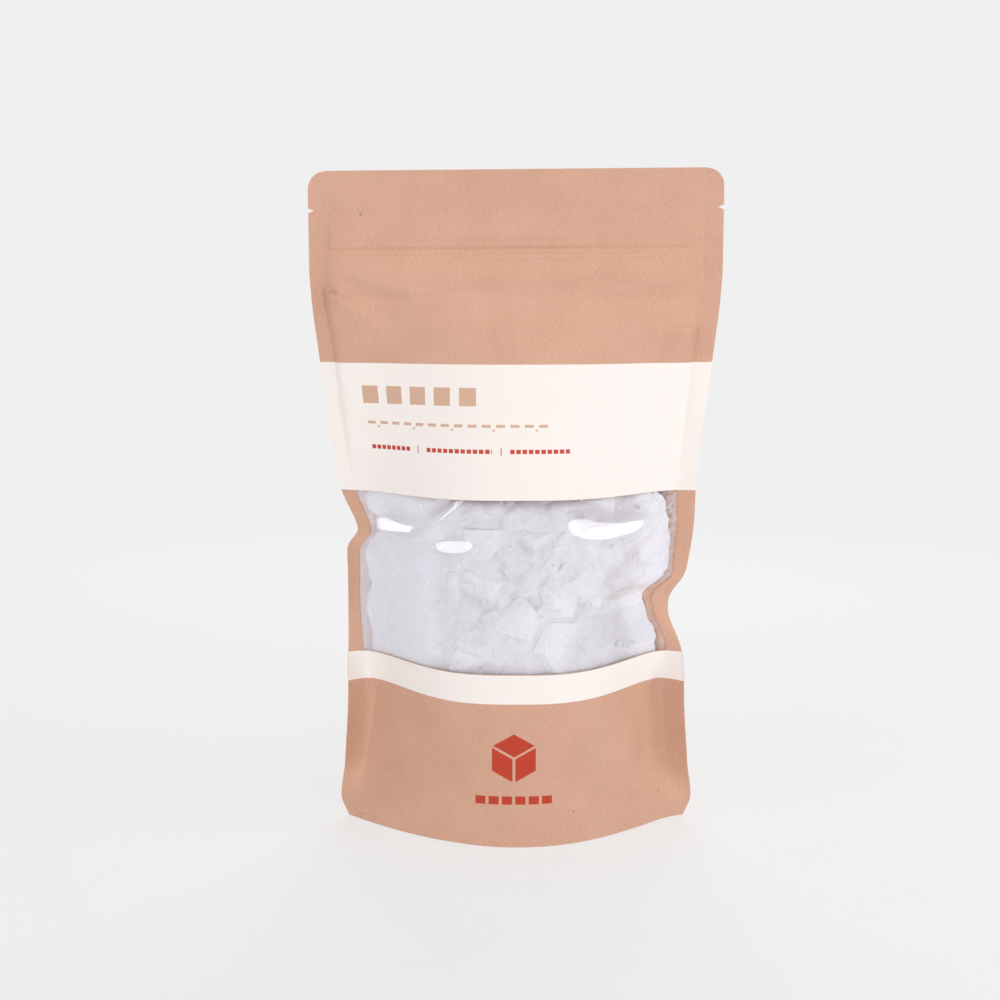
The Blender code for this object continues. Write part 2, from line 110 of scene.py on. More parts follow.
# How wide each side seal looks from the front, left and right: it turns aside where the seam buckles.
SEAL_SEEN = {
    -1: [(0.0, 0.007), (0.05, 0.0072), (0.068, 0.0055), (0.09, 0.0046), (0.117, 0.0052), (0.133, 0.0056),
         (0.19, 0.006), (0.214, 0.0052), (0.232, 0.0075), (0.258, 0.0075)],
    1: [(0.0, 0.0082), (0.05, 0.0085), (0.07, 0.0058), (0.079, 0.005), (0.085, 0.006), (0.092, 0.0078),
        (0.099, 0.005), (0.11, 0.006), (0.133, 0.0068), (0.19, 0.0078), (0.21, 0.007), (0.232, 0.0075),
        (0.258, 0.0075)],
}
# Height, then how far a side seal's outer edge stands forward of its seam.
FLARE = {
    -1: [(0.0, 0.0), (0.012, 0.0012), (0.035, 0.0045), (0.06, 0.004), (0.075, 0.0), (0.1, -0.0035),
         (0.125, -0.003), (0.15, 0.0), (0.19, -0.0016), (0.22, 0.0), (0.258, 0.0)],
    1: [(0.0, 0.0), (0.014, 0.0022), (0.03, 0.0056), (0.055, 0.0056), (0.072, 0.001), (0.088, -0.004),
        (0.105, 0.0), (0.15, 0.001), (0.19, -0.001), (0.22, 0.0), (0.258, 0.0)],
}


def through(stations, z):
    """A smooth curve through (z, value) stations, as cubic spans that never swing past a station."""
    heights, values = np.array(stations).T
    chords = np.diff(values) / np.diff(heights)
    before, after = np.r_[chords[0], chords], np.r_[chords, chords[-1]]
    same_way = before * after > 0
    slopes = np.where(same_way, 2 * before * after / np.where(same_way, before + after, 1), 0)
    z = np.clip(z, heights[0], heights[-1])
    k = np.clip(np.searchsorted(heights, z, side="right") - 1, 0, len(heights) - 2)
    span = heights[k + 1] - heights[k]
    t = (z - heights[k]) / span
    ends = (2 * t**3 - 3 * t**2 + 1) * values[k] + (3 * t**2 - 2 * t**3) * values[k + 1]
    return ends + span * ((t**3 - 2 * t**2 + t) * slopes[k] + (t**3 - t**2) * slopes[k + 1])


def by_side(stations, z, side):
    """A curve through the stations of the left side (-1) or the right side (1)."""
    return np.where(side < 0, through(stations[-1], z), through(stations[1], z))


def smooth_step(low, high, value):
    t = np.clip((value - low) / (high - low), 0, 1)
    return t * t * (3 - 2 * t)


def hump(away, spread, sharpness=2):
    """1 in the middle, dying out at about this spread."""
    return np.exp(-((np.abs(away) / spread) ** sharpness))


def seal_edge(z, side):
    """Half the outside width without its corner and notch."""
    half = through(OUTLINE, z)
    for buckle_side, centre, depth, below, above in BUCKLES:
        dent = np.where(z < centre, hump(z - centre, *below), hump(z - centre, *above))
        half = half - np.where(side == buckle_side, depth * dent, 0)
    return half


def outer(z, side):
    """Half the outside width, with the rounded top corner and the tear notch."""
    half = seal_edge(z, side)
    above = np.clip(z - (HEIGHT - CORNER_RADIUS), 0, CORNER_RADIUS)
    half = half - (CORNER_RADIUS - np.sqrt(CORNER_RADIUS**2 - above**2))
    return half - NOTCH_DEPTH * np.clip(1 - np.abs(z - NOTCH_Z) / NOTCH_HALF, 0, None)


def seam(z, side):
    """Half the width between the two seams, where the side seals start."""
    return seal_edge(z, side) - by_side(SEAL_SEEN, z, side)


def wall(share, z):
    """How far a panel's mid surface stands from the centre plane. share is 0 in the middle, 1 at a seam."""
    section = (1 - np.clip(share, 0, 1) ** through(CROWN, z)) ** through(TUCK, z)
    return MIDDLE + through(BULGE, z) * section


# --- seeded noise ---


class Cloud:
    """Smooth noise over a plane, -1 to 1, the same each run."""

    def __init__(self, seed, size):
        self.grid = np.random.default_rng(seed).uniform(-1, 1, (64, 64))
        self.size = size

    def layer(self, u, v):
        i, j = np.floor(u).astype(int), np.floor(v).astype(int)
        a, b = u - i, v - j
        a, b = a**3 * (a * (6 * a - 15) + 10), b**3 * (b * (6 * b - 15) + 10)

        def at(di, dj):
            return self.grid[(i + di) % 64, (j + dj) % 64]

        return (at(0, 0) * (1 - a) + at(1, 0) * a) * (1 - b) + (at(0, 1) * (1 - a) + at(1, 1) * a) * b

    def __call__(self, x, z, octaves):
        u, v = x / self.size, z / self.size
        total, weight = 0.0, 0.0
        for k in range(octaves):
            total = total + self.layer(u * 2**k + 7.3 * k, v * 2**k + 3.1 * k) / 2**k
            weight += 1 / 2**k
        return total / weight


# --- creases and dents of the paper ---

# A fold across a panel: x and z of its ends, width and height (below 0 is a valley), all in metres.
FRONT_FOLDS = [
    (-0.065, 0.215, -0.046, 0.2085, 0.0034, -0.00182),
    (-0.0685, 0.211, -0.052, 0.196, 0.0052, 0.00168),
    (-0.052, 0.201, -0.038, 0.188, 0.006, -0.00084),
    (0.071, 0.21, 0.069, 0.203, 0.0016, -0.00112),
    (0.0655, 0.1985, 0.06, 0.186, 0.0046, 0.00112),
    (0.056, 0.208, 0.052, 0.19, 0.005, -0.00098),
    (0.044, 0.202, 0.032, 0.186, 0.0075, 0.0014),
    (0.064, 0.2165, 0.052, 0.213, 0.003, 0.00084),
    (-0.06, 0.057, -0.056, 0.048, 0.0018, -0.00182),
    (-0.0578, 0.049, -0.0601, 0.0297, 0.0015, -0.0014),
    (-0.0601, 0.0297, -0.066, 0.015, 0.0014, -0.00112),
    (0.057, 0.056, 0.054, 0.048, 0.0024, -0.00112),
    (0.048, 0.03, 0.04, 0.008, 0.008, -0.00084),
]
BACK_FOLDS = [
    (-0.069, 0.208, -0.048, 0.199, 0.003, -0.0014),
    (0.07, 0.214, 0.048, 0.206, 0.0026, -0.0014),
    (-0.06, 0.124, -0.033, 0.133, 0.0035, -0.00154),
    (-0.06, 0.118, -0.038, 0.108, 0.004, -0.00126),
    (0.058, 0.09, 0.03, 0.099, 0.0036, -0.00168),
    (0.058, 0.084, 0.036, 0.075, 0.004, -0.00126),
    (-0.057, 0.05, -0.04, 0.03, 0.006, -0.0014),
    (0.056, 0.048, 0.042, 0.026, 0.006, -0.00126),
]
SHOULDER_DEPTH, LEFT_TOP, RIGHT_TOP = 0.0042, 0.2140, 0.2005  # how far it puffs out, and up to where
WIDE_DEPTH, SMALL_DEPTH = 0.00055, 0.00013  # of the paper's waves
wide_waves, small_waves = Cloud(3, 0.05), Cloud(8, 0.017)


def folds(x, z, lines):
    """The height of all the folds, each one fading along its length."""
    total = np.zeros_like(x)
    for x0, z0, x1, z1, width, height in lines:
        along_x, along_z = x1 - x0, z1 - z0
        length = math.hypot(along_x, along_z)
        t = ((x - x0) * along_x + (z - z0) * along_z) / length**2
        aside = np.abs((x - x0) * along_z - (z - z0) * along_x) / length
        past = np.maximum(np.maximum(-t, t - 1), 0) * length
        distance = np.hypot(aside, past)
        fade = 1 - 0.65 * np.clip(t, 0, 1)
        total = total + height * fade * hump(distance, width)
    return total


def zip_relief(x, z):
    """The zip pressing through a lip: a broad welded flange and the ridge of the closed strips."""
    outside, inside = 0.0007, 0.0004
    along = smooth_step(ZIP_HALF, ZIP_HALF - 0.0016, np.abs(x))
    flange = smooth_step(ZIP_LOW - outside, ZIP_LOW + inside, z)
    flange = flange * smooth_step(ZIP_HIGH + outside, ZIP_HIGH - inside, z)
    swell = hump(z - ZIP_Z - 0.0026, 0.0027, 3)
    ridge = hump(z - ZIP_Z, 0.0008) - 0.8 * hump(z - ZIP_Z + 0.0016, 0.0007)
    lower = hump(z - ZIP_Z + 0.0048, 0.0008)
    crush = 0.00028 * np.sin(x / 0.00034) * smooth_step(ZIP_HALF - 0.004, ZIP_HALF - 0.001, x)
    uneven = 0.8 + 0.35 * wide_waves(x, 0.9, 2)
    strips = uneven * (0.00070 * swell + 0.00056 * ridge + 0.00024 * lower)
    return along * (0.00022 * flange + strips + crush * swell)


def shoulder(share, z, side):
    """The strip beside a seam that puffs out at once where the filled pouch pulls away from its seal."""
    away = 1 - share
    top = np.where(side < 0, LEFT_TOP - 0.022 * away, RIGHT_TOP)
    soft = np.where(side < 0, 0.0016 + 0.030 * away, 0.0060)
    size = SHOULDER_DEPTH * smooth_step(0.128, 0.165, z) * smooth_step(top, top - soft, z)
    return size * (1 - np.exp(-away / 0.02)) * hump(away, 0.19)


def relief(x, z, share, side, facing):
    """What the paper's creases add to the smooth form, nothing at the seams."""
    if facing < 0:
        lines, shift = FRONT_FOLDS, 0.0
        calm = 1 - 0.6 * smooth_step(0.064, 0.072, z) * smooth_step(0.14, 0.13, z)  # beside the window
    else:
        lines, shift = BACK_FOLDS, 0.31
        calm = 1.0
    free = smooth_step(1.0, 0.965, share)
    filled = smooth_step(0.238, 0.206, z) * smooth_step(0.0, 0.02, z)
    waves = WIDE_DEPTH * wide_waves(x + shift, z, 2) + SMALL_DEPTH * small_waves(x + shift, z, 2)
    total = free * (waves * (0.25 + 0.75 * filled) * calm + folds(x, z, lines))
    return total + shoulder(share, z, side) + zip_relief(x, z)


def foot_opening(x, z, share, side):
    """Near the ground each panel's edge runs on to the outer corner, so the side seals part there."""
    reach = np.clip(np.abs(x) / outer(z, side), 0, 1)
    curve = np.where(side < 0, 1 - reach**1.8, np.clip(1 - reach**2.15, 0, 1) ** 1.35)
    open_share = np.where(side < 0, 1.0, 0.75) * smooth_step(0.026, 0.001, z)
    return open_share * np.clip(MIDDLE + through(BULGE, z) * curve - wall(share, z), 0, None)


def lopsided(x, z):
    """The top of the pouch droops to the left, by this much."""
    return 0.0015 * smooth_step(0.188, 0.228, z) * np.clip(0.5 - x / (2 * HALF_WIDTH), 0, 1)


def panel_place(s, z, facing, with_relief=True):
    """Points of a panel. s is -1 to 1 from seam to seam and goes on to -2 and 2 across the side seals."""
    s, z = np.broadcast_arrays(np.asarray(s, float), np.asarray(z, float))
    side = np.where(s < 0, -1, 1)
    share, over = np.minimum(np.abs(s), 1), np.clip(np.abs(s) - 1, 0, 1)
    inner = seam(z, side)
    x = side * (share * inner + over * (outer(z, side) - inner))
    depth = wall(share, z) + foot_opening(x, z, share, side)
    if with_relief:
        depth = np.maximum(depth + relief(x, z, share, side, facing), MIDDLE)
    forward = by_side(FLARE, z, side) * over**1.25
    return np.stack([x, facing * depth - forward, z - lopsided(x, z)], -1)


def grid_normals(points, facing):
    """Outward unit normals of a grid of points, rows up and columns along +X."""
    across, up = np.gradient(points, axis=1), np.gradient(points, axis=0)
    normals = np.cross(across, up) * -facing
    return normals / np.maximum(np.linalg.norm(normals, axis=-1, keepdims=True), 1e-12)


# --- meshes ---


def link(name, data):
    """A new object in the scene."""
    made = bpy.data.objects.new(name, data)
    bpy.context.scene.collection.objects.link(made)
    return made


def new_object(name, points, faces, materials, face_material=None, uv=None, smooth_deg=42):
    """A mesh object. uv is one (u, v) for each point."""
    mesh = bpy.data.meshes.new(name)
    mesh.from_pydata(points.tolist(), [], faces.tolist())
    for finish in materials:
        mesh.materials.append(finish)
    if face_material is not None:
        mesh.polygons.foreach_set("material_index", face_material)
    if uv is not None:
        corners = np.zeros(len(mesh.loops), np.int32)
        mesh.loops.foreach_get("vertex_index", corners)
        mesh.uv_layers.new(name="flat").data.foreach_set("uv", uv[corners].astype(np.float32).ravel())
    mesh.shade_smooth()
    mesh.set_sharp_from_angle(angle=math.radians(smooth_deg))
    return link(name, mesh)


def shell(name, front, back, materials, keep=None, uv=None, facing=-1):
    """A closed shell between two grids of points, front the outer one. keep says which cells are there.
    The outer face takes the first material, and the inner face and the rim take the last."""
    rows, columns = front.shape[:2]
    cells = np.ones((rows - 1, columns - 1), bool) if keep is None else keep
    index = np.arange(rows * columns).reshape(rows, columns)
    corners = np.stack([index[:-1, :-1], index[:-1, 1:], index[1:, 1:], index[1:, :-1]], -1)
    kept = corners[cells]
    count = rows * columns
    padded = np.pad(cells, 1)
    rims = []
    towards = {(-1, 0): (0, 1), (0, 1): (1, 2), (1, 0): (2, 3), (0, -1): (3, 0)}
    for (di, dj), (a, b) in towards.items():
        neighbour = padded[1 + di:rows + di, 1 + dj:columns + dj]
        edge = corners[cells & ~neighbour]
        rims.append(np.stack([edge[:, b], edge[:, a], edge[:, a] + count, edge[:, b] + count], -1))
    faces = np.concatenate([kept, kept[:, ::-1] + count, *rims])
    if facing > 0:
        faces = faces[:, ::-1]
    points = np.concatenate([front.reshape(-1, 3), back.reshape(-1, 3)])
    used, renumbered = np.unique(faces, return_inverse=True)
    finish = np.full(len(faces), len(materials) - 1, np.int32)
    finish[: len(kept)] = 0
    flat = None if uv is None else np.concatenate([uv.reshape(-1, 2)] * 2)[used]
    return new_object(name, points[used], renumbered.reshape(faces.shape), materials, finish, flat)


def sheet(name, points, thickness, materials, uv):
    """A shell of this thickness about a grid of points."""
    half = grid_normals(points, -1) * thickness / 2
    return shell(name, points + half, points - half, materials, uv=uv)


def steps(*stops):
    """Values from (start, spacing) stops, evenly spaced between two stops, each stop kept."""
    values = []
    for (start, spacing), (end, _) in zip(stops, stops[1:]):
        count = max(1, round((end - start) / spacing))
        values += list(np.linspace(start, end, count, endpoint=False))
    return np.array(values + [stops[-1][0]])


def panel_columns(count=160, fin=7):
    """s values across a panel, closer together towards the seams, and over both side seals."""
    t = np.linspace(-1, 1, count + 1)
    inner = 0.6 * t + 0.4 * np.sin(math.pi / 2 * t)
    outside = 1 + np.linspace(0, 1, fin + 1)[1:]
    return np.concatenate([-outside[::-1], inner, outside])


PANEL_ROWS = steps(
    (FOOT_Z, 0.0008), (0.012, 0.001), (WINDOW[0], 0.001), (WINDOW[1], 0.001), (HINGE_Z, 0.0009),
    (0.2215, 0.00042), (0.239, 0.0006), (NOTCH_Z - NOTCH_HALF, 0.0003), (NOTCH_Z, 0.0003),
    (NOTCH_Z + NOTCH_HALF, 0.001), (HEIGHT - CORNER_RADIUS, 0.0007), (HEIGHT, 0.0007),
)


def nearest(values, wanted):
    return int(np.argmin(np.abs(values - wanted)))


def flat_map(points, s):
    """Flat coordinates of the grid in millimetres: along the paper from its middle, and height."""
    length = np.linalg.norm(np.diff(points[..., :2], axis=1), axis=-1)
    along = np.concatenate([np.zeros((len(points), 1)), np.cumsum(length, axis=1)], axis=1)
    middle = nearest(s, 0)
    along = along - along[:, middle: middle + 1]
    return np.stack([along * 1000, np.broadcast_to(PANEL_ROWS[:, None] * 1000, along.shape)], -1)


# --- materials ---


class Nodes:
    """Short calls for building a node tree."""

    def __init__(self, tree):
        self.tree = tree

    def set(self, node, values):
        for name, value in values.items():
            socket = node.inputs[name]
            if isinstance(value, bpy.types.NodeSocket):
                self.tree.links.new(value, socket)
            else:
                socket.default_value = value

    def node(self, kind, inputs=None, **settings):
        made = self.tree.nodes.new("ShaderNode" + kind)
        for name, value in settings.items():
            setattr(made, name, value)
        self.set(made, inputs or {})
        return made

    def math(self, operation, a, b=0.0, clamp=False):
        return self.node("Math", {0: a, 1: b}, operation=operation, use_clamp=clamp).outputs[0]

    def times(self, a, b):
        return self.math("MULTIPLY", a, b)

    def plus(self, a, b):
        return self.math("ADD", a, b)

    def minus(self, a, b):
        return self.math("SUBTRACT", a, b)

    def mix(self, share, a, b):
        made = self.node("Mix", {0: share}, data_type="RGBA")
        self.set(made, {6: a, 7: b})
        return made.outputs[2]

    def span(self, value, low, high, to_low=0.0, to_high=1.0):
        """value from low..high to to_low..to_high, clamped."""
        inputs = {"Value": value, "From Min": low, "From Max": high, "To Min": to_low, "To Max": to_high}
        return self.node("MapRange", inputs).outputs[0]

    def noise(self, vector, scale, detail=3.0, roughness=0.5, stretch=(1, 1, 1)):
        if stretch != (1, 1, 1):
            vector = self.node("Mapping", {"Vector": vector, "Scale": stretch}).outputs[0]
        inputs = {"Vector": vector, "Scale": scale, "Detail": detail, "Roughness": roughness}
        return self.node("TexNoise", inputs).outputs[0]

    def bump(self, height, distance, strength):
        return self.node("Bump", {"Height": height, "Distance": distance, "Strength": strength}).outputs[0]


class Finish(Nodes):
    """A material with its node tree."""

    def __init__(self, name):
        self.material = bpy.data.materials.new(name)
        self.material.use_nodes = True
        super().__init__(self.material.node_tree)
        self.shader = self.tree.nodes["Principled BSDF"]
        self.output = self.tree.nodes["Material Output"]


class Ink:
    """Masks of printed shapes in a panel's flat millimetres, 1 on the ink, with edges this wide."""

    edge = 0.12

    def __init__(self, finish):
        self.f = finish
        self.flat = finish.node("UVMap", uv_map="flat").outputs[0]
        parts = finish.node("SeparateXYZ", {0: self.flat})
        self.u, self.v = parts.outputs[0], parts.outputs[1]

    def inside(self, distance):
        """1 where distance is above 0."""
        return self.f.span(distance, -self.edge / 2, self.edge / 2)

    def between(self, value, low, high):
        away = self.f.math("ABSOLUTE", self.f.minus(value, (low + high) / 2))
        return self.inside(self.f.minus((high - low) / 2, away))

    def both(self, a, b):
        return self.f.times(a, b)

    def either(self, *masks):
        total = masks[0]
        for mask in masks[1:]:
            total = self.f.math("MAXIMUM", total, mask)
        return total

    def box(self, left, right, low, high):
        return self.both(self.between(self.u, left, right), self.between(self.v, low, high))

    def repeated(self, start, pitch, filled):
        """Upright bars, filled wide, one every pitch."""
        far_left = start - 100 * pitch  # whole pitches away, so that the remainder is never negative
        along = self.f.math("MODULO", self.f.minus(self.u, far_left), pitch)
        return self.between(along, 0.0, filled)

    def slanted(self, across, lean, low, high):
        """Between two lines v = lean * u + low or high, where u is measured from across."""
        u = self.f.minus(self.u, across)
        return self.between(self.f.minus(self.v, self.f.times(u, lean)), low, high)


KRAFT_DARK, KRAFT, KRAFT_LIGHT = (0.490, 0.266, 0.182, 1), (0.580, 0.327, 0.230, 1), (0.660, 0.394, 0.287, 1)
CREAM_DARK, CREAM = (0.835, 0.765, 0.730, 1), (0.865, 0.800, 0.768, 1)
SPECK = (0.16, 0.08, 0.05, 1)
RED_INK = (0.450, 0.032, 0.009, 1)
BROWN_INK = (0.560, 0.320, 0.210, 1)
UPPER_BAND, LOWER_BAND = (133.1, 183.4), (57.1, 68.3)  # millimetres, like the marks below


def heading_marks(ink):
    """Five solid blocks where a heading would be."""
    return ink.both(ink.repeated(-62.5, 10.2, 6.6), ink.box(-62.6, -14.8, 167.9, 174.7))


def small_marks(ink):
    """A line of short strokes where a line of small print would be."""
    strokes = ink.both(ink.repeated(-61.5, 5.4, 3.4), ink.box(-61.6, 13.8, 160.0, 161.1))
    dots = ink.both(ink.repeated(-57.4, 16.2, 0.9), ink.box(-61.6, 13.8, 158.6, 159.4))
    return ink.either(strokes, dots)


def red_marks(ink):
    """A finer red line of dashes in three groups."""
    dashes = ink.both(ink.repeated(-61.0, 2.35, 1.75), ink.box(-61.1, 20.5, 150.3, 151.9))
    groups = ink.either(ink.between(ink.u, -61.2, -42.5), ink.between(ink.u, -35.3, -9.0),
                        ink.between(ink.u, -2.2, 20.6))
    bars = ink.either(ink.box(-39.2, -38.8, 149.7, 152.5), ink.box(-5.8, -5.4, 149.7, 152.5))
    return ink.either(ink.both(dashes, groups), bars)


def cube_marks(ink):
    """A block of chalk as a pictogram: a cube seen from a corner, its three faces parted by thin gaps."""
    u0, v0, half, tall = -0.8, 35.9, 8.3, 9.6
    gap, left_gap, lean = 0.55, 0.453, 0.577
    rising = ink.slanted(u0, lean, v0 + left_gap, v0 + tall)
    top = ink.both(rising, ink.slanted(u0, -lean, v0 + gap, v0 + tall))
    left = ink.both(ink.between(ink.u, u0 - half, u0 - gap), ink.slanted(u0, -lean, v0 - tall, v0 - gap))
    right = ink.both(ink.between(ink.u, u0 + gap, u0 + half), ink.slanted(u0, lean, v0 - tall, v0 - gap))
    return ink.either(top, left, right)


def foot_marks(ink):
    """A row of short red bars under the pictogram."""
    return ink.both(ink.repeated(-15.6, 5.1, 3.9), ink.box(-15.7, 14.4, 17.6, 20.9))


def make_paper(name, printed):
    """Kraft paper: fibres, cloudy tone and rare dark specks, with the cream bands and marks on it."""
    f = Finish(name)
    ink = Ink(f)
    clouds = f.noise(ink.flat, 0.045, 4.0, 0.55)
    fibres = f.noise(ink.flat, 1.7, 5.0, 0.65, (0.45, 1.3, 1))
    grain = f.noise(ink.flat, 4.2, 2.0, 0.5)
    tone = f.plus(f.times(clouds, 0.3), f.times(fibres, 0.7))
    paper = f.mix(f.span(tone, 0.30, 0.5), KRAFT_DARK, KRAFT)
    paper = f.mix(f.span(tone, 0.5, 0.72), paper, KRAFT_LIGHT)
    specks = f.node("TexVoronoi", {"Vector": ink.flat, "Scale": 0.085, "Randomness": 1.0})
    rare = f.math("GREATER_THAN", f.node("SeparateColor", {0: specks.outputs["Color"]}).outputs[0], 0.66)
    dot = f.span(specks.outputs["Distance"], 0.026, 0.044, 1.0, 0.0)
    paper = f.mix(f.times(f.times(dot, rare), 0.75), paper, SPECK)
    roughness = f.span(grain, 0.2, 0.8, 0.46, 0.60)
    if printed:
        bands = ink.either(ink.between(ink.v, *UPPER_BAND), ink.between(ink.v, *LOWER_BAND))
        paper = f.mix(bands, paper, f.mix(f.span(fibres, 0.3, 0.72), CREAM_DARK, CREAM))
        if printed == "front":
            brown = ink.either(heading_marks(ink), small_marks(ink))
            paper = f.mix(f.times(brown, 0.9), paper, BROWN_INK)
            red = ink.either(red_marks(ink), cube_marks(ink), foot_marks(ink))
            paper = f.mix(f.times(red, f.span(fibres, 0.25, 0.5, 0.94, 1.0)), paper, RED_INK)
        roughness = f.minus(roughness, f.times(bands, 0.06))
    height = f.plus(fibres, f.times(grain, 0.6))
    f.set(f.shader, {"Base Color": paper, "Roughness": roughness, "Specular IOR Level": 0.45,
                     "Normal": f.bump(height, 0.00008, 0.7)})
    return f.material


def make_liner():
    """The laminate's inner face: kraft seen through a thin glossy coat."""
    f = Finish("kraft_liner")
    place = f.node("TexCoord").outputs["Object"]
    tone = f.noise(place, 260.0, 4.0, 0.6)
    colour = f.mix(f.span(tone, 0.3, 0.7), (0.60, 0.345, 0.24, 1), (0.72, 0.45, 0.33, 1))
    f.set(f.shader, {"Base Color": colour, "Roughness": f.span(tone, 0.2, 0.8, 0.30, 0.42),
                     "Normal": f.bump(tone, 0.00008, 0.5)})
    return f.material


def make_chalk():
    """Pressed magnesium chalk: white with a cool tint, faintly warmer and darker in its grit, with painted
    shade where it lies deep in the gaps between lumps.
    """
    f = Finish("chalk_block")
    place = f.node("TexCoord").outputs["Object"]
    patches = f.noise(place, 70.0, 3.0, 0.5)
    grit = f.noise(place, 900.0, 4.0, 0.6)
    pits = f.noise(place, 2600.0, 2.0, 0.5)
    colour = f.mix(f.span(patches, 0.35, 0.65), (0.88, 0.87, 0.91, 1), (0.90, 0.895, 0.935, 1))
    colour = f.mix(f.span(grit, 0.30, 0.46, 0.30, 0.0), colour, (0.74, 0.69, 0.70, 1))
    # Painted shade: darker and warmer where the chalk lies deep behind the window, in the gaps between
    # lumps, where shadow would fall.
    sunk = f.node("Attribute", attribute_name="sunk").outputs["Fac"]
    colour = f.mix(f.times(sunk, 0.7), colour, (0.58, 0.52, 0.54, 1))
    height = f.plus(grit, f.times(pits, 0.4))
    f.set(f.shader, {"Base Color": colour, "Roughness": f.span(grit, 0.3, 0.7, 0.88, 0.98),
                     "Specular IOR Level": 0.2, "Normal": f.bump(height, 0.00035, 0.5)})
    return f.material


def make_film_finish():
    """Clear film with gloss, dusted with chalk on its inner side."""
    f = Finish("dusty_film")
    flat = f.node("UVMap", uv_map="flat").outputs[0]
    u = f.node("SeparateXYZ", {0: flat}).outputs[0]
    broad = f.noise(flat, 0.06, 3.0, 0.6)
    fine = f.noise(flat, 0.55, 6.0, 0.7)
    left = f.span(u, -58.0, -26.0, 0.30, 0.0)
    dust = f.plus(f.times(broad, 0.62), f.times(fine, 0.38))
    beside = f.span(u, 50.0, 60.0, 1.0, 0.4)
    dust = f.math("ADD", f.times(f.span(dust, 0.42, 0.72, 0.02, 0.11), beside), left, clamp=True)
    aside = f.math("ABSOLUTE", u)
    frayed = f.times(f.span(fine, 0.40, 0.62), f.span(aside, 54.0, 60.0, 0.0, 0.30))
    dust = f.math("MAXIMUM", dust, frayed)
    powder = f.mix(fine, (0.88, 0.86, 0.91, 1), (0.93, 0.92, 0.96, 1))
    haze = f.node("BsdfDiffuse", {"Color": powder, "Roughness": 0.5})
    clear = f.node("BsdfTransparent", {"Color": (0.965, 0.965, 0.972, 1)})
    body = f.node("MixShader", {0: dust, 1: clear.outputs[0], 2: haze.outputs[0]})
    gloss = f.node("BsdfGlossy", {"Color": (1, 1, 1, 1), "Roughness": 0.05})
    facing = f.node("Fresnel", {"IOR": 1.55}).outputs[0]
    front_only = f.minus(1.0, f.node("NewGeometry").outputs["Backfacing"])
    shine = f.times(facing, front_only)
    surface = f.node("MixShader", {0: shine, 1: body.outputs[0], 2: gloss.outputs[0]})
    f.tree.nodes.remove(f.shader)
    f.set(f.output, {"Surface": surface.outputs[0]})
    return f.material


def make_zip_finish():
    """Milky plastic, drawn lengthwise."""
    f = Finish("zip_plastic_clear")
    place = f.node("TexCoord").outputs["Object"]
    drawn = f.noise(place, 900.0, 3.0, 0.5, (0.05, 1, 1))
    colour = f.mix(drawn, (0.80, 0.77, 0.72, 1), (0.90, 0.88, 0.84, 1))
    f.set(f.shader, {"Base Color": colour, "Roughness": f.span(drawn, 0.3, 0.7, 0.24, 0.36),
                     "Subsurface Weight": 0.15, "Subsurface Radius": (0.002, 0.0018, 0.0015),
                     "Normal": f.bump(drawn, 0.0001, 0.5)})
    return f.material


paper_front = make_paper("kraft_front", "front")
paper_back = make_paper("kraft_back", "back")
paper_plain = make_paper("kraft_plain", "")
liner = make_liner()
chalk = make_chalk()
film_finish = make_film_finish()
zip_finish = make_zip_finish()


# --- the paper ---

COLUMNS = panel_columns()
LAP_ROWS, LAP_INSET = 5, 0.0005  # a lip runs on this far under the panel below it, so that no slit opens


class Panel:
    """The grid of the front or the back panel, from the foot to the top and over both side seals."""

    def __init__(self, facing, printed):
        self.facing = facing
        self.materials = [printed, liner]
        self.points = panel_place(COLUMNS[None, :], PANEL_ROWS[:, None], facing)
        self.flat = flat_map(self.points, COLUMNS)

    def part(self, name, rows, columns, keep=None, lap=0):
        """The piece between these rows and columns, its first lap rows set inwards."""
        block = (slice(rows[0], rows[1] + 1), slice(columns[0], columns[1] + 1))
        normals = grid_normals(self.points, self.facing)[block]
        middle = self.points[block].copy()
        middle[:lap] -= normals[:lap] * LAP_INSET
        half = normals * PAPER / 2
        return shell(name, middle + half, middle - half, self.materials, keep, self.flat[block], self.facing)


def make_panels():
    """Both panels, each cut into the paper of the pouch, its header and the two halves of its lip."""
    low, high, hinge, notch = (nearest(PANEL_ROWS, z) for z in (*WINDOW, HINGE_Z, NOTCH_Z))
    seam_left, middle, seam_right = (nearest(COLUMNS, s) for s in (-1, 0, 1))
    top, last = len(PANEL_ROWS) - 1, len(COLUMNS) - 1
    for side_name, facing, printed in (("front", -1, paper_front), ("back", 1, paper_back)):
        panel = Panel(facing, printed)
        keep = np.ones((notch, last), bool)
        keep[hinge:, seam_left:seam_right] = False
        if facing < 0:
            keep[low:high, seam_left:seam_right] = False
        body = panel.part(f"{side_name}_paper", (0, notch), (0, last), keep)
        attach(body, "pouch")
        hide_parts(f"{side_name}_panel")
        header = panel.part(f"{side_name}_header_paper", (notch, top), (0, last))
        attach(header, "header")
        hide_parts(f"header_{side_name}_layer")
        for half, columns, side in (("left", (seam_left, middle), -1), ("right", (middle, seam_right), 1)):
            lip = panel.part(f"{side_name}_lip_{half}", (hinge - LAP_ROWS, notch), columns, lap=LAP_ROWS)
            blend_lip(lip)
            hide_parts(f"{side_name}_lip")


def blend_lip(piece):
    """Bakes a lip's half's placement into its points."""
    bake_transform(piece)


make_panels()


# --- the base ---


def gusset_rise(share, start):
    """0 over the flat middle of the base, and 1 at the side seams, where the gusset stays folded."""
    return (np.clip(np.abs(share) - start, 0, None) / (1 - start)) ** 1.8


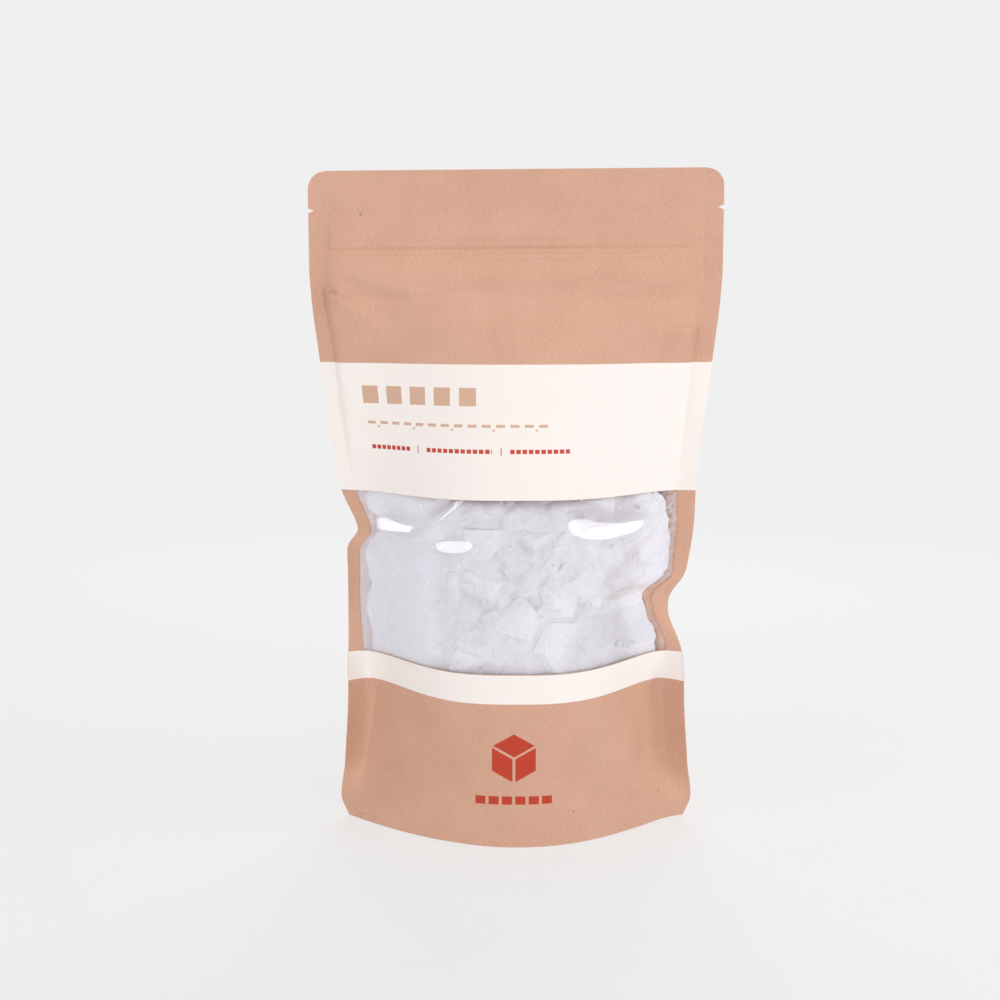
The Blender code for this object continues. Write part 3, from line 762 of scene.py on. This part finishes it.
def make_gusset():
    """The folded base sheet: up from the front edge, back over the base, and down to the back edge."""
    shares = panel_columns(110, 0)
    hem = 0.005
    centre = INNER_PAPER / 2 + (GUSSET_FOLD_Z - 0.001) * gusset_rise(shares, 0.42)
    edge = hem + (GUSSET_FOLD_Z - hem) * gusset_rise(shares, 0.2)
    inset = PAPER / 2 + INNER_PAPER / 2 + 0.00012
    rows = []
    for facing in (-1, 1):
        hem_rows = []
        for t in np.linspace(0, 1, 9):
            z = FOOT_Z + (edge - FOOT_Z) * t
            place = panel_place(shares, z, facing, with_relief=False)
            place[:, 1] -= facing * inset * 1.6
            place[:, 1] = facing * np.maximum(facing * place[:, 1], MIDDLE)
            hem_rows.append(place)
        rows.append(hem_rows)
    top_front, top_back = rows[0][-1], rows[1][-1]
    base = []
    for across in np.linspace(-0.97, 0.97, 61):
        lift = np.clip((abs(across) - 0.6) / 0.4, 0, 1) ** 2
        point = (top_front + top_back) / 2 + (top_back - top_front) / 2 * across
        creased = 0.0006 * np.abs(wide_waves(point[:, 0], point[:, 1], 2))
        point[:, 2] = centre + (edge - centre) * lift + creased
        base.append(point)
    points = np.array(rows[0] + base + rows[1][::-1])
    flat = np.stack([points[..., 0], points[..., 1]], -1) * 1000
    made = sheet("base_gusset_paper", points, INNER_PAPER, [paper_plain, liner], flat)
    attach(made, "pouch")
    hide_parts("bottom_gusset")


make_gusset()


# --- the window film ---

FILM_INSET, FILM_LAP = 0.00045, 0.005
film_waves = Cloud(21, 0.012)
# Creases where the film sinks in above and puffs out below, so that it mirrors the light from overhead:
# (x, z, reach up and down, depth) along each.
FILM_CREASES = [
    [(-0.06, 0.1205, 0.003, 0.0), (-0.051, 0.12, 0.0042, 0.004), (-0.04, 0.1196, 0.0044, 0.0036),
     (-0.033, 0.1222, 0.004, 0.0042), (-0.026, 0.128, 0.0028, 0.0027), (-0.0205, 0.1338, 0.002, 0.0015),
     (-0.016, 0.139, 0.0018, 0.0)],
    [(-0.034, 0.1165, 0.0022, 0.0), (-0.027, 0.115, 0.0032, 0.0014), (-0.021, 0.1153, 0.003, 0.0012),
     (-0.015, 0.1168, 0.0022, 0.0)],
    [(0.018, 0.1235, 0.004, 0.0), (0.026, 0.1208, 0.0058, 0.0022), (0.034, 0.1192, 0.0066, 0.003),
     (0.042, 0.1192, 0.006, 0.0032), (0.049, 0.1206, 0.004, 0.0021), (0.056, 0.1215, 0.003, 0.0)],
]


def film_ripples(x, z):
    """How far the film stands out from its smooth form."""
    total = 0.00016 * film_waves(x, z, 2)
    for crease in FILM_CREASES:
        middle, reach, depth = (through([(place[0], place[k]) for place in crease], x) for k in (1, 2, 3))
        up = (z - middle) / reach
        total = total - depth * (up - 0.5) * np.exp(-(up**2) / 2)
    return total


def film_stand(x, z, share):
    """The film's ripples, dying out towards the edges of the window."""
    upright = smooth_step(0.066, 0.074, z) * smooth_step(0.136, 0.128, z)
    return film_ripples(x, z) * smooth_step(1.0, 0.93, share) * upright


def make_film():
    """The film just behind the panel, welded to the side seals and lapping the window's edges."""
    shares = np.concatenate([[-1.35, -1.15], panel_columns(230, 0), [1.15, 1.35]])
    heights = steps((WINDOW[0] - FILM_LAP, 0.0006), (WINDOW[1] + FILM_LAP, 0.0006))
    points = panel_place(shares[None, :], heights[:, None], -1)
    outward = film_stand(points[..., 0], points[..., 2], np.abs(shares)[None, :]) - FILM_INSET
    points = points + grid_normals(points, -1) * outward[..., None]
    flat = np.stack([points[..., 0], points[..., 2]], -1) * 1000
    made = sheet("window_film_sheet", points, FILM, [film_finish], flat)
    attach(made, "pouch")
    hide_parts("window_film")


make_film()


# --- the zip ---

FLANGE = (0.0007, 0.0010)  # its two faces, from the centre plane
RIB_HALF, RIB_TIP = 0.00035, 0.0005  # half the rib's height, and y of its tip
GROOVE_HALF, JAW, JAW_TIP = 0.00085, 0.0005, -0.00025  # half the gap, a jaw's height, and y of its tip


def zip_outline(kind):
    """(y, z) of one strip's section: the rib on the front lip, or the groove on the back lip."""
    near, far = FLANGE
    low, high = ZIP_LOW, ZIP_HIGH
    if kind == "rib":
        return [(-far, low), (-near, low), (-near, ZIP_Z - RIB_HALF), (0, ZIP_Z - 0.6 * RIB_HALF),
                (RIB_TIP, ZIP_Z - RIB_HALF), (RIB_TIP, ZIP_Z + RIB_HALF), (0, ZIP_Z + 0.6 * RIB_HALF),
                (-near, ZIP_Z + RIB_HALF), (-near, high), (-far, high)]
    jaw = GROOVE_HALF + JAW
    return [(far, low), (far, high), (near, high), (near, ZIP_Z + jaw), (JAW_TIP, ZIP_Z + jaw),
            (JAW_TIP, ZIP_Z + 0.7 * GROOVE_HALF), (near, ZIP_Z + GROOVE_HALF), (near, ZIP_Z - GROOVE_HALF),
            (JAW_TIP, ZIP_Z - 0.7 * GROOVE_HALF), (JAW_TIP, ZIP_Z - jaw), (near, ZIP_Z - jaw), (near, low)]


def extruded(name, outline, x, material):
    """A closed bar along x with this (y, z) outline, drooping with the top of the pouch."""
    points = np.array([[(along, y, z) for y, z in outline] for along in x])
    points[..., 2] -= lopsided(points[..., 0], points[..., 2])
    index = np.arange(len(x) * len(outline)).reshape(len(x), len(outline))
    following = np.roll(index, -1, axis=1)
    quads = np.stack([index[:-1], following[:-1], following[1:], index[1:]], -1).reshape(-1, 4)
    bm = bmesh.new()
    verts = [bm.verts.new(point) for point in points.reshape(-1, 3)]
    for face in [*quads, index[0], index[-1]]:
        bm.faces.new([verts[k] for k in face])
    bmesh.ops.recalc_face_normals(bm, faces=bm.faces)
    mesh = bpy.data.meshes.new(name)
    bm.to_mesh(mesh)
    bm.free()
    mesh.materials.append(material)
    mesh.shade_smooth()
    mesh.set_sharp_from_angle(angle=math.radians(30))
    return link(name, mesh)


def make_zip_strips():
    """Both strips, each in two halves."""
    half_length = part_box("zip_rib_strip")[1].x
    for kind, lip in (("rib", "front"), ("groove", "back")):
        for half, side in (("left", -1), ("right", 1)):
            x = np.sort(side * np.linspace(0, half_length, 70))
            strip = extruded(f"zip_{kind}_{half}", zip_outline(kind), x, zip_finish)
            blend_lip(strip)
            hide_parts(f"zip_{kind}_strip")


make_zip_strips()


# --- the chalk ---

PLATES, SMALLEST_PLATE, LARGEST_PLATE = 560, 0.0022, 0.009
PLATE_AREA = ((-0.06, 0.062), (0.056, 0.142))  # in x and in z


def broken_plates(x, z):
    """A relief of angular plates lying over each other: the height of the highest one at each point."""
    dice = np.random.default_rng(5)
    height = np.full(x.shape, -1.0)
    for _ in range(PLATES):
        cx, cz = (dice.uniform(*ends) for ends in PLATE_AREA)
        size = SMALLEST_PLATE + (LARGEST_PLATE - SMALLEST_PLATE) * dice.random() ** 1.8
        turn = dice.uniform(0, math.tau)
        sides = dice.integers(4, 7)
        dx, dz = x - cx, z - cz
        far = np.full(x.shape, -1.0)
        for k in range(sides):
            angle = turn + math.tau * (k + dice.uniform(-0.25, 0.25)) / sides
            edge = size * dice.uniform(0.38, 0.6)
            far = np.maximum(far, dx * math.cos(angle) + dz * math.sin(angle) - edge)
        tilt_x, tilt_z = dice.normal(0, 0.16, 2)
        top = dice.uniform(0.0, 0.0016) + tilt_x * dx + tilt_z * dz
        height = np.maximum(height, top - 1.7 * np.clip(far, 0, None))
    return height


# How deep behind the panel's mid surface the painted shade in the gaps starts, and where it is full.
GAP_SHADE_DEPTHS = (0.0021, 0.0058)


def mark_painted_gap_shade(piece):
    """Stores how far each point lies behind the window, 0 near it to 1 deep in the gaps, for the painted
    shade in the gaps between lumps.
    """
    points = np.array([vert.co for vert in piece.data.vertices])
    x, z = points[:, 0], points[:, 2]
    share = np.abs(x) / seam(z, np.where(x < 0, -1, 1))
    behind = wall(share, z) + points[:, 1]
    sunk = piece.data.attributes.new("sunk", "FLOAT", "POINT")
    sunk.data.foreach_set("value", smooth_step(*GAP_SHADE_DEPTHS, behind).astype(np.float32))


powder_grain, powder_lumps, edge_wander = Cloud(31, 0.0022), Cloud(32, 0.011), Cloud(33, 0.0045)
POWDER_TOP = 0.139
THINNEST = 0.00005  # half the powder's depth at its outer edge
CLOSEST = 0.00105  # the powder's front from the panel's mid surface where it lies against the film
# How far towards each seam the chalk goes: height, then share of the way.
CHALK_EDGE = {
    -1: [(0.05, 0.930), (0.075, 0.925), (0.085, 0.945), (0.14, 0.945)],
    1: [(0.05, 0.930), (0.068, 0.925), (0.076, 0.955), (0.084, 0.925), (0.092, 0.930), (0.100, 0.960),
        (0.112, 0.965), (0.120, 0.945), (0.127, 0.920), (0.134, 0.890)],
}


def lump_room(share, z):
    """1 where the layer of lumps lies behind the window, 0 where there is only powder."""
    return smooth_step(-0.60, -0.44, share) * smooth_step(0.90, 0.70, share) * smooth_step(0.058, 0.066, z)


def make_powder():
    """The crushed chalk that fills the pouch, against the film beside the lumps, deeper between them."""
    rows = steps((0.0022, 0.0022), (0.056, 0.0006), (POWDER_TOP, 0.0006))
    grid_t, grid_z = np.meshgrid(np.linspace(-1, 1, 221), rows)
    # how far it reaches to the sides, at the foot over the gusset's slope, then behind the window
    spare = np.clip(grid_z - 0.0016, 0, None) / (GUSSET_FOLD_Z - 0.001)
    ragged = 0.036 * edge_wander(np.sign(grid_t), grid_z, 3) * smooth_step(0.05, 0.07, grid_z)
    reach = np.minimum(0.42 + 0.54 * spare ** (1 / 1.8), by_side(CHALK_EDGE, grid_z, grid_t) + ragged)
    closing = np.sqrt(np.clip(1 - np.clip((grid_z - 0.129) / 0.0105, 0, 1) ** 2, 0.0004, 1))
    share = grid_t * np.minimum(reach, 0.965) * (0.35 + 0.65 * closing)
    side = np.where(share < 0, -1, 1)
    x = share * seam(grid_z, side)
    # how deep its front lies behind the panel's mid surface
    room = lump_room(share, grid_z)
    plates = broken_plates(x, grid_z)
    rubble = smooth_step(-0.60, -0.30, share + 0.1 * powder_lumps(x, grid_z, 2))
    away = smooth_step(0.96, 0.80, np.abs(share))
    depth_in = 0.0011 + away * (0.0013 * rubble + 0.0020 * room)
    raised = rubble * np.clip(plates + 0.0016, 0, 0.003) * (0.9 - 0.5 * room)
    pressed = np.maximum(-film_stand(x, grid_z, np.abs(share)), 0)
    rough = 0.0003 * powder_lumps(x, grid_z, 3) + (0.0001 + 0.00015 * rubble) * powder_grain(x, grid_z, 3)
    loose = np.clip(depth_in - raised - rough - CLOSEST, 0, None)
    half = wall(np.abs(share), grid_z)
    turned = np.abs(grid_normals(np.stack([x, -half, grid_z], -1), -1)[..., 1])
    inset = loose + (CLOSEST + pressed) / np.clip(turned, 0.4, 1)
    dents = np.minimum(relief(x, grid_z, np.abs(share), side, -1), 0.0)
    front_depth = np.clip((half + dents - inset) * closing, THINNEST, None)
    low_limit = np.clip(1 - 0.25 * smooth_step(0.03, 0.0, grid_z), 0, 1)
    back_depth = np.clip((half - 0.0018) * closing, THINNEST, None)
    front = np.stack([x, -front_depth * low_limit, grid_z], -1)
    back = np.stack([x, back_depth * low_limit, grid_z], -1)
    made = shell("chalk_powder", front, back, [chalk])
    mark_painted_gap_shade(made)
    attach(made, "pouch")
    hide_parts("chalk_powder_bed")


make_powder()


def apply_modifiers(piece):
    graph = bpy.context.evaluated_depsgraph_get()
    mesh = bpy.data.meshes.new_from_object(piece.evaluated_get(graph))
    old = piece.data
    piece.modifiers.clear()
    piece.data = mesh
    bpy.data.meshes.remove(old)


def cloud_texture(name, size):
    made = bpy.data.textures.new(name, "CLOUDS")
    made.noise_scale, made.noise_depth = size, 2
    return made


LUMP_SIZE = 0.955  # of its CAD block, which leaves a groove between neighbours
LUMP_GRID = 0.00042  # spacing of a lump's mesh, and half the width of a crack
ROUGHNESS = [(cloud_texture("coarse", 0.0048), 0.0009), (cloud_texture("fine", 0.0011), 0.00034)]


def cut_off(bm, point, normal):
    """Cuts away what lies beyond a plane, and closes the cut."""
    everything = bm.verts[:] + bm.edges[:] + bm.faces[:]
    cut = bmesh.ops.bisect_plane(bm, geom=everything, dist=1e-7, plane_co=point, plane_no=normal,
                                 clear_outer=True)
    if any(isinstance(item, bmesh.types.BMEdge) for item in cut["geom_cut"]):
        bmesh.ops.holes_fill(bm, edges=bm.edges[:])


def split_lump(bm, dice, centre, count):
    """Cuts a closed lump by planes through it, and parts the fragments a little along each cut."""
    for _ in range(count):
        normal = Vector((dice.gauss(0, 1), 0.45 * dice.gauss(0, 1), dice.gauss(0, 1))).normalized()
        point = centre + Vector([dice.uniform(-0.002, 0.002) for _ in range(3)])
        halves = []
        for keep_side in (1, -1):
            half = bm.copy()
            cut_off(half, point + normal * keep_side * LUMP_GRID, normal * -keep_side)
            sink = Vector((0, dice.uniform(0, 0.0016), 0))
            bmesh.ops.translate(half, vec=sink, verts=half.verts)
            halves.append(half)
        joined = bpy.data.meshes.new("joined")
        bm.clear()
        for half in halves:
            half.to_mesh(joined)
            bm.from_mesh(joined)
            half.free()
        bpy.data.meshes.remove(joined)


def chip_face(bm, dice, centre):
    """Cuts slanting facets on the side of a lump that faces the window."""
    for _ in range(3):
        normal = Vector((0.34 * dice.gauss(0, 1), -1, 0.34 * dice.gauss(0, 1))).normalized()
        cut_off(bm, centre + normal * dice.uniform(0.0054, 0.0070), normal)


def make_lumps():
    """Each broken lump of pressed chalk, from its CAD block: chipped, cracked, worn round and rough."""
    dice = random.Random(4)
    for name in sorted(name for name in frame["nodes"] if name.startswith("chalk_lump_")):
        low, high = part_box(name)
        centre = (low + high) / 2
        bm = bmesh.new()
        bm.from_mesh(frame["nodes"][name].data)
        bmesh.ops.remove_doubles(bm, verts=bm.verts, dist=1e-6)
        chip_face(bm, dice, centre)
        split_lump(bm, dice, centre, dice.choice((0, 1, 1)))
        bmesh.ops.translate(bm, vec=-centre, verts=bm.verts)
        bmesh.ops.scale(bm, vec=(LUMP_SIZE, LUMP_SIZE, LUMP_SIZE), verts=bm.verts)
        bmesh.ops.translate(bm, vec=centre, verts=bm.verts)
        mesh = bpy.data.meshes.new(name + "_rough")
        bm.to_mesh(mesh)
        bm.free()
        piece = link(name + "_rough", mesh)
        remesh = piece.modifiers.new("Grid", "REMESH")
        remesh.mode, remesh.voxel_size = "VOXEL", LUMP_GRID
        worn = piece.modifiers.new("Worn", "SMOOTH")
        worn.factor, worn.iterations = 0.5, 2
        for noise, strength in ROUGHNESS:
            rough = piece.modifiers.new("Rough", "DISPLACE")
            rough.texture, rough.strength, rough.mid_level = noise, strength, 0.55
            rough.texture_coords = "LOCAL"
        apply_modifiers(piece)
        mark_painted_gap_shade(piece)
        piece.data.materials.clear()
        piece.data.materials.append(chalk)
        piece.data.shade_smooth()
        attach(piece, "pouch")
        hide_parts(name)


make_lumps()


def make_crumbs():
    """Crumbs of chalk caught between the lumps and the film."""
    dice = np.random.default_rng(17)
    ball = bmesh.new()
    bmesh.ops.create_icosphere(ball, subdivisions=2, radius=1.0)
    unit = np.array([vert.co for vert in ball.verts])
    faces = np.array([[vert.index for vert in face.verts] for face in ball.faces])
    ball.free()
    count = 140
    share = dice.uniform(-0.6, 0.86, count)
    z = dice.uniform(0.066, 0.137, count)
    size = 0.0002 + 0.0007 * dice.random(count) ** 2.5
    side = np.where(share < 0, -1, 1)
    x = share * seam(z, side)
    y = -(wall(np.abs(share), z) - 0.0012 - size - dice.uniform(0, 0.0012, count))
    points, all_faces = [], []
    for k in range(count):
        shape = unit * (1 + 0.28 * dice.standard_normal((len(unit), 1)))
        turned = shape * dice.uniform(0.6, 1.15, 3) @ np.linalg.qr(dice.standard_normal((3, 3)))[0]
        points.append(turned * size[k] + (x[k], y[k], z[k]))
        all_faces.append(faces + k * len(unit))
    points, all_faces = np.concatenate(points), np.concatenate(all_faces)
    made = new_object("chalk_crumbs", points, all_faces, [chalk], smooth_deg=60)
    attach(made, "pouch")


make_crumbs()


# --- camera, light and floor ---

BACKGROUND = 0.871  # linear value of the pale studio ground
ROOM_LIGHT = 0.42
CEILING, CEILING_LIGHT = (28, 62), 6.0  # the ceiling panels' elevations in degrees, and their strength


def make_camera():
    data = bpy.data.cameras.new("camera")
    data.lens, data.sensor_width, data.shift_x = 58.0, 36.0, -0.016
    camera = link("camera", data)
    camera.location = (0, -0.63, 0.218)
    camera.rotation_euler = (math.radians(90 - 8.04), 0, 0)
    bpy.context.scene.camera = camera


def area_light(name, place, target, size, power, mirrored=True):
    """A rectangular light. Those in front aren't mirrored in the film: only the ceiling panels are."""
    data = bpy.data.lights.new(name, "AREA")
    data.shape, data.size, data.size_y = "RECTANGLE", size[0], size[1]
    data.energy = power
    light = link(name, data)
    light.visible_glossy = mirrored
    light.location = place
    light.rotation_euler = (Vector(target) - Vector(place)).to_track_quat("-Z", "Y").to_euler()


def make_floor():
    """A pale floor that catches soft shadows near the pouch and fades into the plain ground further out."""
    f = Finish("studio_floor")
    place = f.node("NewGeometry").outputs["Position"]
    distance = f.node("VectorMath", {0: place}, operation="LENGTH").outputs[1]
    near = f.span(distance, 0.22, 0.75, 1.0, 0.0)
    grain = f.noise(place, 30.0, 2.0)
    tone = f.mix(grain, (0.33, 0.33, 0.33, 1), (0.34, 0.34, 0.34, 1))
    f.set(f.shader, {"Base Color": tone, "Roughness": 0.9, "Specular IOR Level": 0.0})
    glow = f.node("Emission", {"Color": (1, 1, 1, 1), "Strength": 0.60})
    lit = f.node("AddShader", {0: f.shader.outputs[0], 1: glow.outputs[0]})
    plain = f.node("Emission", {"Color": (1, 1, 1, 1), "Strength": BACKGROUND})
    fading = f.node("MixShader", {0: near, 1: plain.outputs[0], 2: lit.outputs[0]})
    f.set(f.output, {"Surface": fading.outputs[0]})
    mesh = bpy.data.meshes.new("floor")
    radius, corners = 3, 64
    angles = np.linspace(0, math.tau, corners, endpoint=False)
    ring = [(radius * math.cos(angle), radius * math.sin(angle), 0) for angle in angles]
    mesh.from_pydata(ring, [], [list(range(corners))])
    mesh.materials.append(f.material)
    floor = link("floor", mesh)


def make_world():
    """An even studio, with a ring of bright ceiling panels that only shows in reflections."""
    world = bpy.data.worlds.new("studio")
    world.use_nodes = True
    nodes = Nodes(world.node_tree)
    background = nodes.tree.nodes["Background"]
    direction = nodes.node("TexCoord").outputs["Generated"]
    up = nodes.node("SeparateXYZ", {0: direction}).outputs[2]
    low, high = (math.sin(math.radians(angle)) for angle in CEILING)
    inputs = {0: up, 1: (low + high) / 2, 2: (high - low) / 2}
    in_ring = nodes.node("Math", inputs, operation="COMPARE").outputs[0]
    ray = nodes.node("LightPath").outputs
    mirrored = nodes.span(in_ring, 0.0, 1.0, ROOM_LIGHT, CEILING_LIGHT)
    strength = nodes.span(ray["Is Glossy Ray"], 0.0, 1.0, ROOM_LIGHT, mirrored)
    strength = nodes.span(ray["Is Camera Ray"], 0.0, 1.0, strength, BACKGROUND)
    nodes.set(background, {"Color": (1, 1, 1, 1), "Strength": strength})
    bpy.context.scene.world = world


make_camera()
make_floor()
make_world()
area_light("key", (0.42, -1.0, 0.30), (0, 0, 0.12), (0.8, 0.8), 3.05, mirrored=False)
area_light("fill", (-0.80, -0.80, 0.18), (0, 0, 0.10), (0.8, 0.8), 4.3, mirrored=False)
area_light("low", (0.10, -0.90, 0.07), (0, 0, 0.05), (1.3, 0.12), 1.0, mirrored=False)
area_light("side", (0.85, -0.25, 0.18), (0, 0, 0.10), (0.35, 0.6), 2.8, mirrored=False)
area_light("back", (0.1, 0.9, 0.6), (0, 0, 0.13), (0.9, 0.7), 5.0)
bpy.context.scene.view_settings.view_transform = "Standard"
